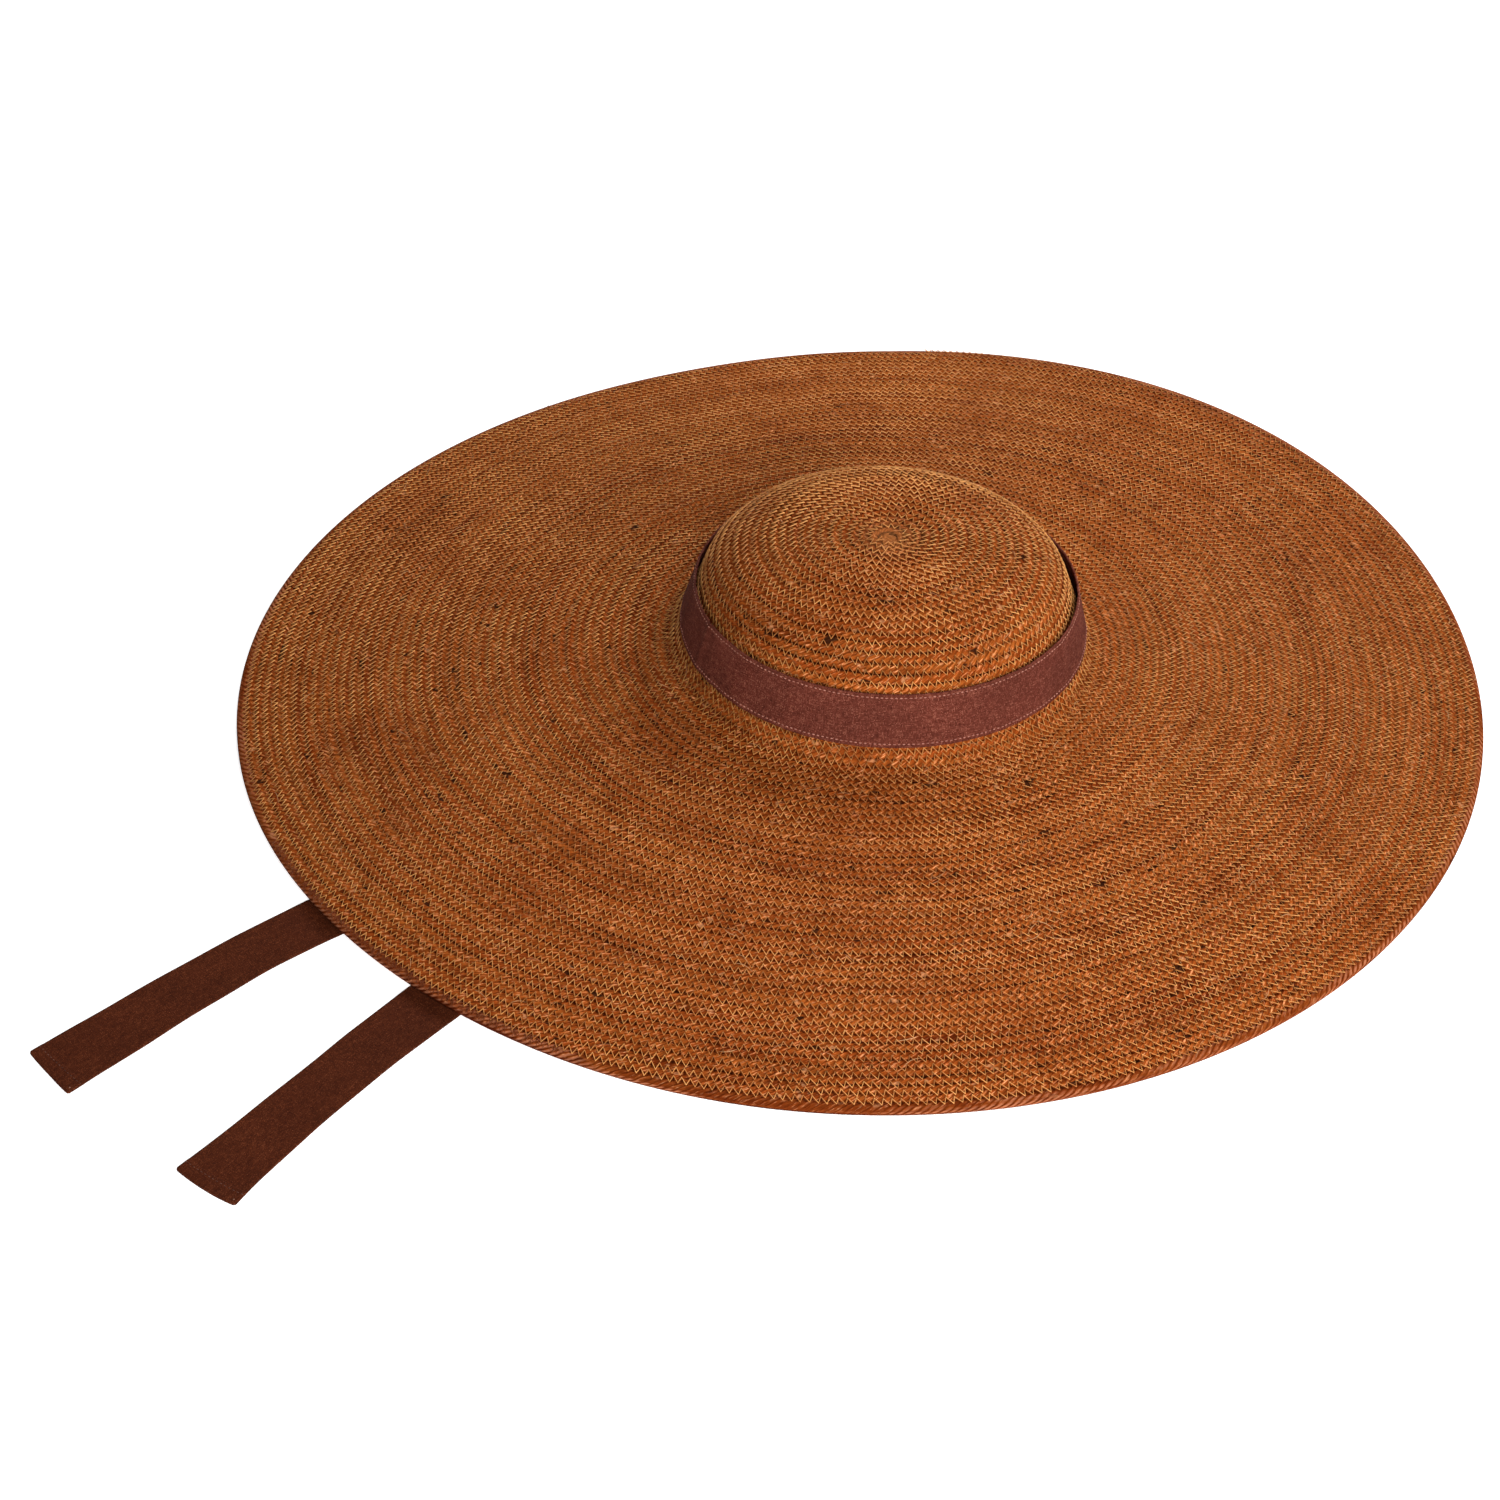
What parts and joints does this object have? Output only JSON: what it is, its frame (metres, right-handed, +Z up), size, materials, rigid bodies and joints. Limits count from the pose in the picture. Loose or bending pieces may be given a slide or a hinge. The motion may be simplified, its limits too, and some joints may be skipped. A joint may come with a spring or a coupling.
{
  "type": "wide-brim straw hat",
  "caption": "Very wide, gently sloping sun hat of coiled and sewn straw cord with a low round crown, a linen ribbon band and two long ribbon ties laid flat.",
  "frame": {"origin": "Middle of the underside of the hat's box, ties included, on the surface that it lies on.", "axes": "+Z up from the surface. +X to the right and +Y away as the picture shows it, with the ties running out to -X and -Y."},
  "size_m": [0.6662, 0.6598, 0.0989],
  "materials": {
    "straw": "reddish-brown straw cord, coiled and joined by golden zigzag stitches, dry and matt",
    "linen_band": "maroon-brown linen weave, topstitched along both edges",
    "linen_ties": "dark brown linen weave, hemmed at the free ends"
  },
  "bodies": {
    "root": {"crown": "straw", "brim": "straw", "hat_band": "linen_band", "tie_left": "linen_ties", "tie_right": "linen_ties"}
  },
  "joints": []
}
